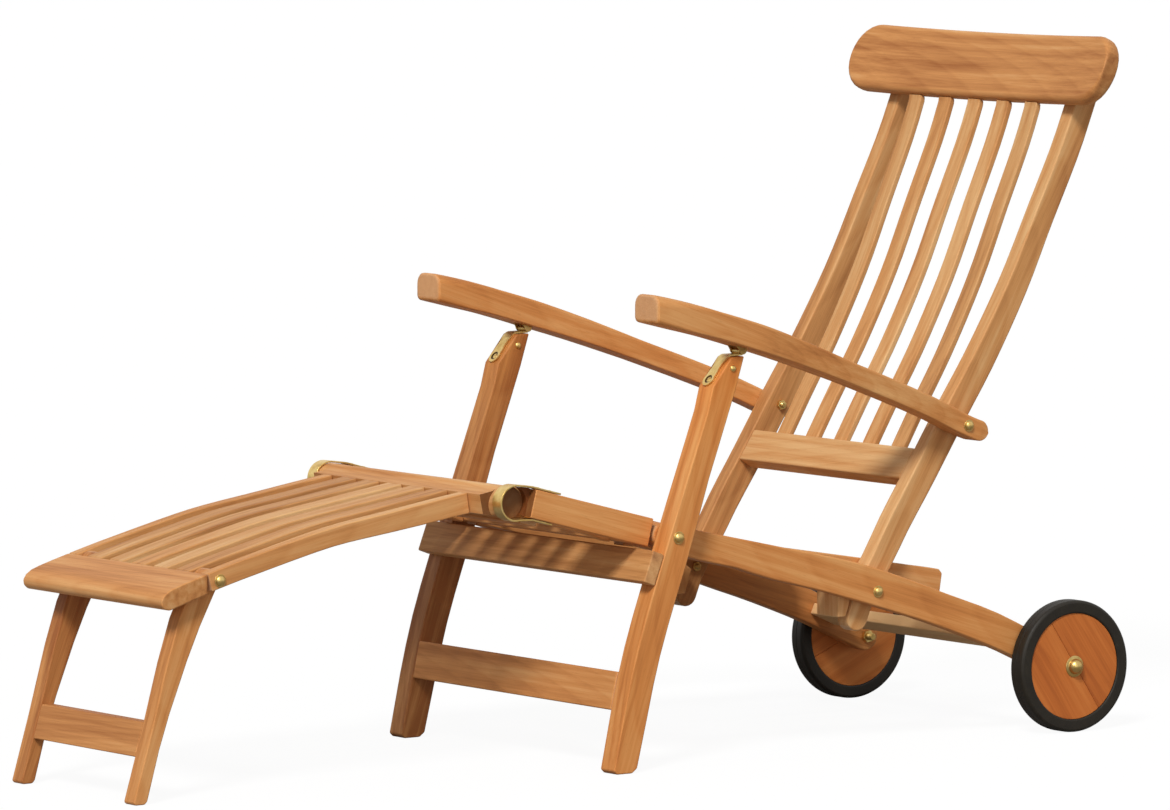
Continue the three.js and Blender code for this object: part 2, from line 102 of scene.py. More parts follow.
# Materials
class Nodes:
    """A short way to lay out a material's nodes."""

    def __init__(self, name):
        self.material = bpy.data.materials.new(name)
        self.material.use_nodes = True
        self.tree = self.material.node_tree
        self.shader = self.tree.nodes["Principled BSDF"]

    def new(self, kind, inputs=None, **settings):
        node = self.tree.nodes.new(kind)
        for key, value in settings.items():
            setattr(node, key, value)
        for key, value in (inputs or {}).items():
            self.set(node.inputs[key], value)
        return node

    def set(self, socket, value):
        if isinstance(value, bpy.types.NodeSocket):
            self.tree.links.new(value, socket)
        else:
            socket.default_value = value

    def attribute(self, name, output="Fac"):
        return self.new("ShaderNodeAttribute", attribute_name=name).outputs[output]

    def math(self, operation, a, b=0.0, clamp=False):
        node = self.new("ShaderNodeMath", {0: a, 1: b}, operation=operation, use_clamp=clamp)
        return node.outputs[0]

    def line(self, value, slope, start):
        """The start plus the slope times the value."""
        return self.math("ADD", self.math("MULTIPLY", value, slope), start)

    def total(self, parts):
        """The sum of the parts, each a value and its share."""
        terms = [self.math("MULTIPLY", value, share) for value, share in parts]
        so_far = terms[0]
        for term in terms[1:]:
            so_far = self.math("ADD", so_far, term)
        return so_far

    def vector(self, operation, a, b=(0.0, 0.0, 0.0), output="Vector"):
        node = self.new("ShaderNodeVectorMath", {0: a, 1: b}, operation=operation)
        return node.outputs[output]

    def noise(self, place, fineness, detail, rough=0.55, output="Fac"):
        """Cloudy noise with these many cells per metre along each axis."""
        inputs = {"Vector": self.vector("MULTIPLY", place, fineness), "Scale": 1.0,
                  "Detail": detail, "Roughness": rough}
        return self.new("ShaderNodeTexNoise", inputs).outputs[output]

    def ramp(self, value, stops):
        node = self.new("ShaderNodeValToRGB", {"Fac": value})
        elements = node.color_ramp.elements
        while len(elements) < len(stops):
            elements.new(0.5)
        for element, (place, colour) in zip(elements, stops):
            element.position = place
            element.color = colour
        return node.outputs["Color"]

    def blend(self, factor, a, b, mode="MIX"):
        node = self.new("ShaderNodeMix", data_type="RGBA", blend_type=mode)
        self.set(node.inputs["Factor"], factor)
        self.set(node.inputs["A"], a)
        self.set(node.inputs["B"], b)
        return node.outputs["Result"]

    def surface(self, colour, rough):
        self.set(self.shader.inputs["Base Color"], colour)
        self.set(self.shader.inputs["Roughness"], rough)

    def bump(self, height, strength, distance):
        node = self.new("ShaderNodeBump", {"Height": height, "Strength": strength,
                                           "Distance": distance})
        self.set(self.shader.inputs["Normal"], node.outputs["Normal"])


# Teak: the cells per metre of each part of its pattern, along, across and through the board
DRIFT_FINENESS = (1.3, 12.0, 12.0)
STREAK_FINENESS = (2.5, 90.0, 90.0)
FIBRE_FINENESS = (18.0, 900.0, 900.0)
BROAD_FINENESS = (2.2, 16.0, 16.0)
PORE_FINENESS = (70.0, 1500.0, 1500.0)
END_FINENESS = (300.0, 700.0, 700.0)
# How far the drift moves the pattern, in metres, and how the rings are drawn out along the board
DRIFT_REACH = (0.0, 0.012, 0.012)
RING_STRETCH = (0.05, 1.0, 1.0)
RINGS_PER_METRE = 210.0
RING_SHADES = [(0.0, grey(0.35)), (0.55, grey(0.5)), (0.88, grey(0.95)), (1.0, grey(0.35))]
PORE_COLOUR = rgb(120, 70, 32)
PALE_END = [(0.3, rgb(228, 186, 146)), (0.7, rgb(208, 160, 116))]
# Dark end grain; on the knee rail's ends and the outer seat rails' front ends it is painted shade
# inside the strap
DARK_END_AND_SHADE = rgb(96, 52, 22)


def teak(name, pale, middle, dark):
    """Oiled teak: growth rings about a distant heart, long streaks, fibres and short pores."""
    m = Nodes(name)
    place = m.attribute("grain", "Vector")
    end = m.attribute("end")
    drift = m.vector("SUBTRACT", m.noise(place, DRIFT_FINENESS, 2.0, 0.5, "Color"), (0.5,) * 3)
    moved = m.vector("ADD", m.vector("MULTIPLY", drift, DRIFT_REACH), place)
    from_heart = m.vector("LENGTH", m.vector("MULTIPLY", moved, RING_STRETCH), output="Value")
    rings = m.math("FRACT", m.math("MULTIPLY", from_heart, RINGS_PER_METRE))
    ring = m.ramp(rings, RING_SHADES)
    streak = m.noise(moved, STREAK_FINENESS, 4.0, 0.6)
    fibre = m.noise(moved, FIBRE_FINENESS, 2.0, 0.6)
    broad = m.noise(place, BROAD_FINENESS, 2.0)
    darkness = m.total([(ring, 0.11), (streak, 0.75), (fibre, 0.20), (broad, 0.70),
                        (m.attribute("tone"), -0.45)])
    darkness = m.math("SUBTRACT", darkness, 0.145, clamp=True)
    colour = m.ramp(darkness, [(0.22, pale), (0.52, middle), (0.85, dark)])
    pores = m.ramp(m.noise(moved, PORE_FINENESS, 1.0), [(0.66, grey(0.0)), (0.74, grey(1.0))])
    colour = m.blend(m.math("MULTIPLY", pores, 0.22), colour, PORE_COLOUR)
    pale_end = m.ramp(m.noise(place, END_FINENESS, 2.0), PALE_END)
    colour = m.blend(m.math("MULTIPLY", end, 0.75, clamp=True), colour, pale_end)
    # Dark end grain, which on some pieces is painted shade
    colour = m.blend(m.math("MULTIPLY", end, -0.85, clamp=True), colour, DARK_END_AND_SHADE)
    colour = m.blend(1.0, colour, m.attribute("tint", "Vector"), "MULTIPLY")
    m.surface(colour, m.line(streak, 0.16, 0.50))
    m.shader.inputs["Specular IOR Level"].default_value = 0.28
    m.bump(m.total([(fibre, 0.5), (ring, 0.3), (pores, -0.6)]), 0.25, 0.00025)
    return m.material


def brass():
    """Brass, cloudy and slightly dulled, and darker with the attribute age: tarnish on most
    pieces, painted shade on the knuckle under the arm.
    """
    m = Nodes("aged_brass")
    where = m.new("ShaderNodeTexCoord").outputs["Object"]
    cloud = m.noise(where, (90.0,) * 3, 3.0)
    fine = m.noise(where, (900.0,) * 3, 2.0)
    colour = m.ramp(cloud, [(0.3, rgb(228, 200, 132)), (0.6, rgb(212, 178, 106)),
                            (0.85, rgb(176, 140, 78))])
    colour = m.blend(m.attribute("age"), colour, rgb(84, 60, 28))
    m.surface(colour, m.line(cloud, 0.16, 0.30))
    m.shader.inputs["Metallic"].default_value = 1.0
    m.bump(fine, 0.12, 0.0002)
    return m.material


def rubber():
    """Nearly black rubber with a little dust."""
    m = Nodes("tyre_rubber")
    where = m.new("ShaderNodeTexCoord").outputs["Object"]
    dust = m.noise(where, (40.0,) * 3, 4.0, 0.65)
    grit = m.noise(where, (1400.0,) * 3, 2.0)
    colour = m.ramp(dust, [(0.35, rgb(26, 21, 14)), (0.62, rgb(34, 29, 20)),
                           (0.8, rgb(47, 41, 31))])
    m.surface(colour, m.line(dust, 0.3, 0.42))
    m.shader.inputs["Specular IOR Level"].default_value = 0.3
    m.bump(grit, 0.2, 0.0002)
    return m.material


TEAK = teak("oiled_teak", rgb(230, 180, 122), rgb(208, 144, 84), rgb(158, 94, 46))
WHEEL_TEAK = teak("wheel_teak", rgb(206, 126, 62), rgb(190, 106, 46), rgb(150, 74, 28))
BRASS = brass()
RUBBER = rubber()


# Making pieces
random.seed(7)
FLAT_FACE_WEIGHT = 60
WELD = 2e-6


def finish(bm, name, body, material, replaced=(), sharp=40.0):
    """The bmesh as a piece: smooth but for its sharp edges, riding on its body."""
    mesh = bpy.data.meshes.new(name)
    bmesh.ops.recalc_face_normals(bm, faces=bm.faces)
    bm.to_mesh(mesh)
    bm.free()
    mesh.materials.append(material)
    mesh.polygons.foreach_set("use_smooth", [True] * len(mesh.polygons))
    mesh.set_sharp_from_angle(angle=math.radians(sharp))
    piece = bpy.data.objects.new(name, mesh)
    bpy.context.scene.collection.objects.link(piece)
    weighted = piece.modifiers.new("flat_faces", "WEIGHTED_NORMAL")
    weighted.keep_sharp = True
    weighted.weight = FLAT_FACE_WEIGHT
    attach(piece, body)
    if replaced:
        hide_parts(*replaced)
    return piece


def solid_copy(node, pins=()):
    """A welded copy of a CAD node with the holes for these pins filled, in metres."""
    bm = bmesh.new()
    bm.from_mesh(NODES[node].data)
    bmesh.ops.remove_doubles(bm, verts=bm.verts, dist=WELD)
    for x, z, radius in pins:
        near = [v for v in bm.verts if math.hypot(v.co.x / MM - x, v.co.z / MM - z) < radius]
        walls = [f for f in bm.faces if all(v in near for v in f.verts)]
        bmesh.ops.delete(bm, geom=walls, context="FACES_ONLY")
        open_edges = [e for e in bm.edges if len(e.link_faces) == 1]
        loose = [e for e in bm.edges if not e.link_faces]
        bmesh.ops.delete(bm, geom=loose, context="EDGES")
        bmesh.ops.holes_fill(bm, edges=[e for e in open_edges if e.is_valid], sides=200)
    bmesh.ops.dissolve_limit(bm, angle_limit=math.radians(0.08), verts=bm.verts, edges=bm.edges)
    return bm


def ease(bm, width, segments=3, angle=28.0):
    """Rounds every edge sharper than this angle."""
    bm.normal_update()
    edges = [e for e in bm.edges if len(e.link_faces) == 2
             and e.calc_face_angle() > math.radians(angle)]
    bmesh.ops.bevel(bm, geom=edges, offset=width * MM, offset_type="OFFSET", segments=segments,
                    profile=0.5, affect="EDGES", clamp_overlap=True)


def skin(bm, rings):
    """Joins rings of equally many vertices to each other and closes both ends."""
    for low, high in zip(rings, rings[1:]):
        for i in range(len(low)):
            k = (i + 1) % len(low)
            bm.faces.new((low[i], low[k], high[k], high[i]))
    bm.faces.new(rings[0])
    bm.faces.new(rings[-1])


def prism(bm, outline, low, high, side):
    """Adds a plate across the chair with this outline in the side view."""
    skin(bm, [[bm.verts.new((x * MM, side * y * MM, z * MM)) for x, z in outline]
              for y in (low, high)])
    bmesh.ops.recalc_face_normals(bm, faces=bm.faces)


def revolve(profile, steps, place):
    """A turned solid; the profile lists (radius, distance along the axis).

    place gives the corner in metres for a radius, an angle and a distance along the axis.
    """
    bm = bmesh.new()
    rings = []
    for radius, along in profile:
        if radius == 0:
            rings.append([bm.verts.new(place(0, 0, along))] * steps)
        else:
            rings.append([bm.verts.new(place(radius, 2 * math.pi * i / steps, along))
                          for i in range(steps)])
    for low, high in zip(rings, rings[1:]):
        for i in range(steps):
            k = (i + 1) % steps
            bm.faces.new(list(dict.fromkeys((low[i], high[i], high[k], low[k]))))
    return bm


# Grain: how a board's warmth shifts its red, green and blue, and the redder wood of the legs
WARM_SHIFT = (0.06, -0.20, -0.50)
REDDER = (1.03, 0.89, 0.68)
# End grain starts where a face's slant to the grain passes the first and is full after the second
END_GRAIN = (0.75, 0.2)


def main_turn(points, centre):
    """The slope of the longest direction in the side view, in radians."""
    xx = sum((p[0] - centre[0]) ** 2 for p in points)
    zz = sum((p[2] - centre[2]) ** 2 for p in points)
    xz = sum((p[0] - centre[0]) * (p[2] - centre[2]) for p in points)
    return 0.5 * math.atan2(2 * xz, xx - zz)


def grain_frame(points):
    """The middle and the directions along, across and through a board with these corners."""
    low = [min(p[i] for p in points) for i in range(3)]
    high = [max(p[i] for p in points) for i in range(3)]
    centre = Vector([(a + b) / 2 for a, b in zip(low, high)])
    turn = main_turn(points, centre)
    in_side_view = Vector((math.cos(turn), 0, math.sin(turn)))
    sideways = Vector((0, 1, 0))
    if high[1] - low[1] > math.hypot(high[0] - low[0], high[2] - low[2]):
        along, across = sideways, in_side_view
    else:
        along, across = in_side_view, sideways
    return centre, along, across, along.cross(across)


def add_grain(mesh, tone, warm=0.0, light=1.0, ends=1.0, directions=None, second=0.0):
    """Writes where each vertex lies in its board, its tone, its tint and its end grain.

    More tone is paler and more warmth is redder, and light multiplies the colour; on a few pieces
    raised tone and light are painted light, and lowered tone is painted shade. The end grain is
    pale where ends is more than 0 and dark where it is less; the dark ends of the knee rail and
    the outer seat rails are painted shade. With second, the boards on the two sides of the middle
    are cut from places that far apart.
    """
    points = [v.co.copy() for v in mesh.vertices]
    centre, along, across, through = directions or grain_frame(points)
    heart = (random.uniform(-9, 9), random.uniform(0.05, 0.11), random.uniform(-0.05, 0.05))
    place = mesh.attributes.new("grain", "FLOAT_VECTOR", "POINT")
    values = []
    for p in points:
        q = p - centre
        apart = second if q.dot(across) > 0 else 0.0
        values += [q.dot(along) + heart[0] + 3 * apart, q.dot(across) + heart[1] + 2 * apart,
                   q.dot(through) + heart[2] + apart]
    place.data.foreach_set("vector", values)
    shade = mesh.attributes.new("tone", "FLOAT", "POINT")
    shade.data.foreach_set("value", [tone] * len(points))
    tint = mesh.attributes.new("tint", "FLOAT_VECTOR", "POINT")
    colour = [light * (1 + shift * warm) for shift in WARM_SHIFT]
    tint.data.foreach_set("vector", colour * len(points))
    grain_ends = mesh.attributes.new("end", "FLOAT", "FACE")
    facing = [abs(f.normal.dot(along)) for f in mesh.polygons]
    start, length = END_GRAIN
    grain_ends.data.foreach_set("value", [ends * mix(0, 1, (v - start) / length) for v in facing])


def redden(mesh, start, length):
    """Makes the wood redder above this height, fully so after this length."""
    for vertex, tint in zip(mesh.vertices, mesh.attributes["tint"].data):
        part = mix(0.0, 1.0, (vertex.co.z / MM - start) / length)
        tint.vector = [v * mix(1.0, full, part) for v, full in zip(tint.vector, REDDER)]


# Small departures from the solids
KNEE_END = 219
FRONT_RAIL_DEEPER = 3
RAIL_DEEPER = {"wheel_rail_left": 5, "wheel_rail_right": -3}
# The wheel rail's upper edge is looked for in cells of this length, and what lies this far
# below it is the lower edge
RAIL_CELL = 30
RAIL_LOWER = 24
# Where the lower edge's change begins and ends: x, and the length over which it comes or goes
RAIL_FROM = (110, 90)
RAIL_TO = (300, 110)
# The footrest's rear end: how far it settles, where that begins and ends, and the round rail's
# ends, which stay
SETTLE = 3.6
SETTLE_FROM = (-480, 140)
SETTLE_TO = (-218, 18)
ROUND_ENDS = 204.6


def settle(bm):
    """Lowers the footrest a little just ahead of its round rail, as its curve eases off there."""
    for v in bm.verts:
        if abs(v.co.y) > ROUND_ENDS * MM:
            continue
        x = v.co.x / MM
        part = mix(0, 1, (x - SETTLE_FROM[0]) / SETTLE_FROM[1])
        part *= mix(0, 1, (SETTLE_TO[0] - x) / SETTLE_TO[1])
        v.co.z -= SETTLE * MM * smooth(part)


def deepen(bm, depth):
    """Lowers a wheel rail's lower edge between the leg and the stile, or raises it if negative."""
    top = {}
    for v in bm.verts:
        cell = round(v.co.x / MM / RAIL_CELL)
        top[cell] = max(top.get(cell, v.co.z), v.co.z)
    for v in bm.verts:
        x = v.co.x / MM
        if top[round(x / RAIL_CELL)] - v.co.z > RAIL_LOWER * MM:
            part = mix(0, 1, (x - RAIL_FROM[0]) / RAIL_FROM[1])
            part *= mix(1, 0, (x - RAIL_TO[0]) / RAIL_TO[1])
            v.co.z -= depth * MM * smooth(part)


def adjust(node, bm):
    """Moves a solid's corners where its piece departs from it."""
    if node == "knee_rail":
        for v in bm.verts:
            v.co.y = math.copysign(min(abs(v.co.y), KNEE_END * MM), v.co.y)
    if BODY_OF[node] == "footrest":
        settle(bm)
    if node in RAIL_DEEPER:
        deepen(bm, RAIL_DEEPER[node])
    if node == "seat_front_rail":
        middle = sum(v.co.z for v in bm.verts) / len(bm.verts)
        for v in bm.verts:
            v.co.z -= FRONT_RAIL_DEEPER * MM if v.co.z < middle else 0


def board(node, width, look, pins=(), angle=28.0):
    """A wooden node with its edges eased and its grain along it."""
    bm = solid_copy(node, pins)
    adjust(node, bm)
    ease(bm, width, 3, angle)
    piece = finish(bm, f"{node}_board", BODY_OF[node], TEAK, [node])
    add_grain(piece.data, *look)
    if node in ("leg_left", "leg_right"):
        redden(piece.data, 400, 110)


# Wood in pairs: the width of the eased edges, the looks of the left and the right piece as
# (tone, warmth, lightness, end grain), and the pin holes to fill
HOLE = 5.2
AXLE_HOLE = 6.2
for node, width, left, right, pins in (
    # The right leg's low tone is painted shade on the far side
    ("leg", 2.2, (0.55, 0.60, 1.0, -0.6), (-0.15, -0.25, 1.0, -0.6), [(*PIVOT, HOLE)]),
    ("wheel_rail", 2.4, (0.60, 0.45), (0.35, 0.30),
     [(*PIVOT, HOLE), (*STILE_PIN, HOLE), (*AXLE, AXLE_HOLE)]),
    # The left stop block's high tone and lightness above 1 are painted light on its face
    ("stop_block", 1.5, (1.0, -0.15, 1.10), (0.8, 0.0), []),
    # The outer seat rails' front ends are dark: painted shade inside the knee strap
    ("seat_outer_rail", 1.8, (0.60, 0.40, 1.02, -0.9), (0.5, 0.0, 1.0, -0.9), []),
    ("seat_rail", 1.8, (0.60, 0.10), (0.4, 0.0), [(*PIVOT, HOLE)]),
    # The right stile's lower tone is painted shade on the far side
    ("stile", 2.6, (0.55, -0.25), (0.30, -0.30), [(*STILE_PIN, HOLE), (*ARM_PIN, HOLE)]),
    ("footrest_rail", 1.8, (0.62, -0.05), (0.5, -0.05), [(*FOOT_PIN, HOLE)]),
    ("footrest_leg", 2.2, (0.42, 0.20), (0.05, 0.10), [(*FOOT_PIN, HOLE)]),
):
    board(f"{node}_left", width, left, pins)
    board(f"{node}_right", width, right, pins)
# Wood across the chair: the width of the eased edges and the look
for node, width, look in (
    ("apron", 2.0, (0.45, -0.30, 1.0, 0.15)),
    ("leg_stretcher", 2.2, (0.52, 0.20)),
    # The rear stretcher's high tone and lightness above 1 are painted light under the seat
    ("rear_stretcher", 2.0, (1.0, -0.35, 1.10)),
    ("seat_front_rail", 2.0, (0.4, 0.0)),
    ("seat_middle_rail", 1.5, (0.5, 0.0)),
    ("seat_rear_rail", 1.5, (0.5, 0.0)),
    ("back_lower_rail", 2.4, (0.78, -0.30)),
    ("footrest_board", 2.4, (0.40, 0.05, 1.0, -0.2)),
    ("footrest_stretcher", 2.0, (0.32, 0.05)),
    # The knee rail's ends are dark: painted shade in the strap's recess
    ("knee_rail", 2.0, (0.55, -0.10, 1.0, -1.0)),
    ("headrest", 3.0, (0.42, 0.0, 1.0, -0.4)),
):
    board(node, width, look, angle=24.0)
for node in sorted(NODES):
    if "_slat_" in node:
        board(node, 2.0, (random.uniform(0.40, 0.68), random.uniform(-0.45, -0.15)))


# Armrests: their middle line in the side view, its steps, and the steps of a rounded corner
ARM_LINE = [(-23, 611), (16, 601.5), (73, 586), (137, 566.8), (211, 542), (294, 511.5),
            (383, 478), (448, 452), ARM_PIN, (525.5, 418)]
ARM_STEPS = 60
CORNER_STEPS = 5
CURVE_STEPS = 40
# How far the front end leans from square to the arm, so that it stands upright
ARM_LEAN = 0.22
# The rounding of the front face's rim: inwards and forwards
RIM_CUT = 5.5
RIM_REACH = 3.6


def spaced(points, count):
    """Evenly spaced points on the smooth curve through these."""
    fine = []
    for i in range(len(points) - 1):
        around = [points[min(max(i + k, 0), len(points) - 1)] for k in (-1, 0, 1, 2)]
        for step in range(CURVE_STEPS):
            t = step / CURVE_STEPS
            weights = (-0.5 * t + t * t - 0.5 * t ** 3, 1 - 2.5 * t * t + 1.5 * t ** 3,
                       0.5 * t + 2 * t * t - 1.5 * t ** 3, -0.5 * t * t + 0.5 * t ** 3)
            fine.append(Vector([sum(w * p[k] for w, p in zip(weights, around)) for k in (0, 1)]))
    fine.append(Vector(points[-1]))
    lengths = [0.0]
    for a, b in zip(fine, fine[1:]):
        lengths.append(lengths[-1] + (b - a).length)
    line = []
    for i in range(count + 1):
        want = lengths[-1] * i / count
        k = max(1, next((j for j, d in enumerate(lengths) if d >= want - 1e-9), len(fine) - 1))
        part = (want - lengths[k - 1]) / (lengths[k] - lengths[k - 1])
        line.append(fine[k - 1].lerp(fine[k], part))
    return line


def arm_ring(bm, sign, at, normal, half, inner, outer, above, below):
    """One section of the arm, with these radii at its upper and lower corners."""
    above, below = min(above, half * 0.9), min(below, half * 0.9)
    lean = ARM_LEAN * mix(1, 0, (at.x + 23) / 45)
    row = []
    for y, s, r, turn in ((inner, -half, below, 180), (outer, -half, below, 270),
                          (outer, half, above, 0), (inner, half, above, 90)):
        cy = y + r if y == inner else y - r
        cs = s + r if s < 0 else s - r
        for k in range(CORNER_STEPS + 1):
            a = math.radians(turn + 90 / CORNER_STEPS * k)
            q = at + normal * (cs + r * math.sin(a))
            q.x += lean * (at.y - q.y)
            row.append(bm.verts.new((q.x * MM, sign * (cy + r * math.cos(a)) * MM, q.y * MM)))
    return row


def armrest(side, sign, look):
    """The arm: deeper and wider in front, where its edges are rounder, with a round rear end."""
    line = spaced(ARM_LINE, ARM_STEPS)
    bm = bmesh.new()
    rings = []
    for i, at in enumerate(line):
        ahead = (line[min(i + 1, ARM_STEPS)] - line[max(i - 1, 0)]).normalized()
        normal = Vector((-ahead.y, ahead.x))
        half = mix(mix(39, 35, (at.x + 10) / 80), 28, (at.x - 137) / 163) / 2
        inner = mix(236, 216.6, (at.x - 150) / 340)
        outer = mix(293.5, 252.5, (at.x - 150) / 340)
        above = mix(16.0, 4.0, (at.x + 25) / 80)
        below = mix(7.0, 2.0, (at.x + 25) / 60)
        if i == 0:
            for a in (85, 65, 45, 25):
                cut = RIM_CUT * (1 - math.cos(math.radians(a)))
                front = at - ahead * RIM_REACH * math.sin(math.radians(a))
                rings.append(arm_ring(bm, sign, front, normal, half - cut, inner + cut,
                                      outer - cut, above - cut * 0.6, below - cut * 0.6))
        rings.append(arm_ring(bm, sign, at, normal, half, inner, outer, above, below))
        if i == ARM_STEPS:
            for a in (15, 30, 45, 58, 70, 80):
                k = math.sin(math.radians(a))
                rings.append(arm_ring(bm, sign, at + ahead * half * k, normal,
                                      half * math.cos(math.radians(a)), inner + 1.5 * k,
                                      outer - 1.5 * k, above, below))
    skin(bm, rings)
    node = f"armrest_{side}"
    piece = finish(bm, f"{node}_board", BODY_OF[node], TEAK, [node])
    add_grain(piece.data, *look)


armrest("left", -1, (0.56, 0.30))
armrest("right", 1, (0.42, 0.35))


# Turned pieces and nuts
ROD = 4.0
BOLT = 3.95
HEAD_RISE = 4.4
# How dark the brass is, from 0 to 1; the knuckle's darkness is painted shade under the arm
ROD_AGE = 0.16
AXLE_AGE = 0.3
KNUCKLE_SHADE = 0.35
LUG_AGE = 0.25


def turned(name, centre, profile, body, material, replaced=(), steps=48, side=1):
    """A turned piece about a pin across the chair; the profile lists (radius, y)."""
    def place(radius, angle, y):
        return ((centre[0] + radius * math.cos(angle)) * MM, side * y * MM,
                (centre[1] + radius * math.sin(angle)) * MM)

    bm = revolve(profile, steps, place)
    if profile[0] == profile[-1]:
        bmesh.ops.remove_doubles(bm, verts=bm.verts, dist=1e-7)
    return finish(bm, name, body, material, replaced, 35.0)


def aged(piece, value):
    """Darkens a brass piece."""
    age = piece.data.attributes.new("age", "FLOAT", "POINT")
    age.data.foreach_set("value", [value] * len(piece.data.vertices))


def dome(radius, base, rise, steps=7):
    """A domed head's profile from its rim to its crown."""
    points = []
    for i in range(steps):
        a = math.pi / 2 * i / steps
        points.append((radius * math.cos(a), base + rise * math.sin(a)))
    return [*points, (0, base + rise)]


def rod_head(out, flange=8.5, head=7.0):
    """A washer and a domed head that starts on a face at this distance out."""
    top = out + 1.0
    return [(flange - 0.3, out), (flange, out + 0.25), (flange, out + 0.7), (flange - 0.4, top),
            *dome(head, top, HEAD_RISE)]


def thread(start, stop, crest, root, steps, pitch):
    """A thread's profile: how far into each turn its crest begins and ends and its root lies."""
    points = []
    y = start
    while y < stop:
        points += [(crest, y + steps[0]), (crest, y + steps[1]), (root, y + steps[2])]
        y += pitch
    return points


def through_rod(name, node, centre, out, middle=None):
    """A rod right through, with a domed head on each side; the middle may be thinner."""
    half = [(ROD, out), *rod_head(out)]
    if middle:
        half = [middle, (ROD, middle[1] + 0.8), *half]
    profile = [(r, -y) for r, y in reversed(half)] + half
    aged(turned(name, centre, profile, BODY_OF[node], BRASS, [node]), ROD_AGE)


def hexagon(name, centre, radius, low, high, body, side):
    """A hexagon nut with eased corners, from low to high across the chair."""
    bm = bmesh.new()
    prism(bm, circle(centre, radius, 6, math.radians(12)), low, high, side)
    ease(bm, 0.5, 2)
    finish(bm, name, body, BRASS)


def bolt(node, centre, inner, outer, nut, side):
    """A bolt with a domed head outside and a threaded end in its nut inside."""
    seat = inner - nut
    end = seat - 3
    profile = [(0, end), (2.8, end), (3.6, end + 0.8),
               *thread(end + 0.8, seat - 0.2, BOLT, BOLT - 0.4, (0.3, 0.45, 0.7), 0.75),
               (BOLT, seat), (BOLT, outer), *rod_head(outer, 8.0, 6.5)]
    body = BODY_OF[node]
    shaft = turned(f"{node}_shaft", centre, profile, body, BRASS, [node], 40, side)
    aged(shaft, ROD_AGE)
    hexagon(f"{node}_nut", centre, 7.0, seat, inner, body, side)


PIN_HEAD = dome(4.6, LEG[1], 2.8)
PIN_FOOT = [(r, sum(LEG) - y) for r, y in reversed(PIN_HEAD)]
through_rod("pivot_rod_turned", "pivot_rod", PIVOT, LEG[1] + 0.2)
through_rod("footrest_rod_turned", "footrest_rod", FOOT_PIN, FOOT_RAIL[1] + 0.2,
            (3.2, FOOT_LEG[0] - 1.5))
for side, sign in SIDES:
    bolt(f"stile_bolt_{side}", STILE_PIN, STILE[0] - 0.3, WHEEL_RAIL[1] + 0.3, 3, sign)
    bolt(f"arm_bolt_{side}", ARM_PIN, STILE[0] - 0.3, 252.8, 5, sign)
    pin = [*PIN_FOOT, (2.2, LEG[0]), (2.2, LEG[1]), *PIN_HEAD]
    turned(f"leg_pin_{side}", LEG_PIN, pin, "front_legs", BRASS, (), 32, sign)


# Wheels: a tyre with a moulded groove, a disc of two boards and a large domed hub
TYRE = 90.0
TYRE_WALL = 245.1
TYRE_SHOULDER = 5
SHAFT = 5.0
SLEEVE = 9.0
AXLE_NUT = 7
DISC = 72.5
DISC_FACES = (246.0, 270.5)
# The joint's distance from the middle of the disc, and half its width
JOINT = 2.0
JOINT_HALF = 0.12


def tyre_profile():
    """The tyre's section, alike on both sides of its groove."""
    half = [(72.6, 246.5), (73.4, 245.6), (75.0, TYRE_WALL), (86.0, TYRE_WALL)]
    for i in range(1, 7):
        a = math.radians(15 * i)
        half.append((TYRE - TYRE_SHOULDER * (1 - math.sin(a)),
                     TYRE_WALL + TYRE_SHOULDER * (1 - math.cos(a))))
    groove = [(TYRE, 258.4), (TYRE - 0.5, 258.7), (TYRE - 0.5, 259.3), (TYRE, 259.6)]
    return [*half, *groove, *[(r, sum(WHEEL) - y) for r, y in reversed(half)], half[0]]


def axle_profile():
    """The stub axle from its threaded inner end to the hub's crown."""
    rail, rail_face = WHEEL_RAIL[0], WHEEL_RAIL[1] + 0.3
    sleeve_end, wheel_face = WHEEL[0] + 0.5, WHEEL[1]
    return [(0, rail - 17), (SHAFT - 1.0, rail - 17), (SHAFT - 0.2, rail - 16.2),
            *thread(rail - 16.2, rail - 8.2, SHAFT, SHAFT - 0.5, (0.35, 0.5, 0.8), 0.9),
            (SHAFT, rail - AXLE_NUT), (SHAFT, rail_face), (SLEEVE, rail_face),
            (SLEEVE, sleeve_end), (SHAFT, sleeve_end), (SHAFT, wheel_face - 2.2),
            (14.2, wheel_face - 2.2), (14.5, wheel_face - 1.9), (14.5, wheel_face - 1.2),
            (14.0, wheel_face - 0.8), (11.2, wheel_face - 0.6),
            *dome(10.6, wheel_face - 0.2, 10.0, 9)]


def wheel_disc(side, sign, slope, look):
    """Two boards joined edge to edge, turned to a disc, with the joint at this slope."""
    along = Vector((math.cos(slope), 0, math.sin(slope)))
    across = Vector((-math.sin(slope), 0, math.cos(slope)))
    centre = Vector((AXLE[0], 0, AXLE[1])) * MM
    whole = bmesh.new()
    for half in (-1, 1):
        bm = bmesh.new()
        prism(bm, circle(AXLE, DISC, 120), *DISC_FACES, sign)
        geometry = bm.verts[:] + bm.edges[:] + bm.faces[:]
        split = centre + across * (JOINT + half * JOINT_HALF) * MM
        bmesh.ops.bisect_plane(bm, geom=geometry, plane_co=split, plane_no=across,
                               clear_outer=half < 0, clear_inner=half > 0, dist=1e-7)
        bmesh.ops.holes_fill(bm, edges=[e for e in bm.edges if len(e.link_faces) == 1], sides=0)
        bmesh.ops.recalc_face_normals(bm, faces=bm.faces)
        ease(bm, 0.9, 3, 40)
        shell = bpy.data.meshes.new("shell")
        bm.to_mesh(shell)
        bm.free()
        whole.from_mesh(shell)
        bpy.data.meshes.remove(shell)
    disc = finish(whole, f"wheel_disc_{side}_boards", f"wheel_{side}", WHEEL_TEAK,
                  [f"wheel_disc_{side}"])
    directions = (centre + across * JOINT * MM, along, across, along.cross(across))
    add_grain(disc.data, *look, directions=directions, second=0.013)


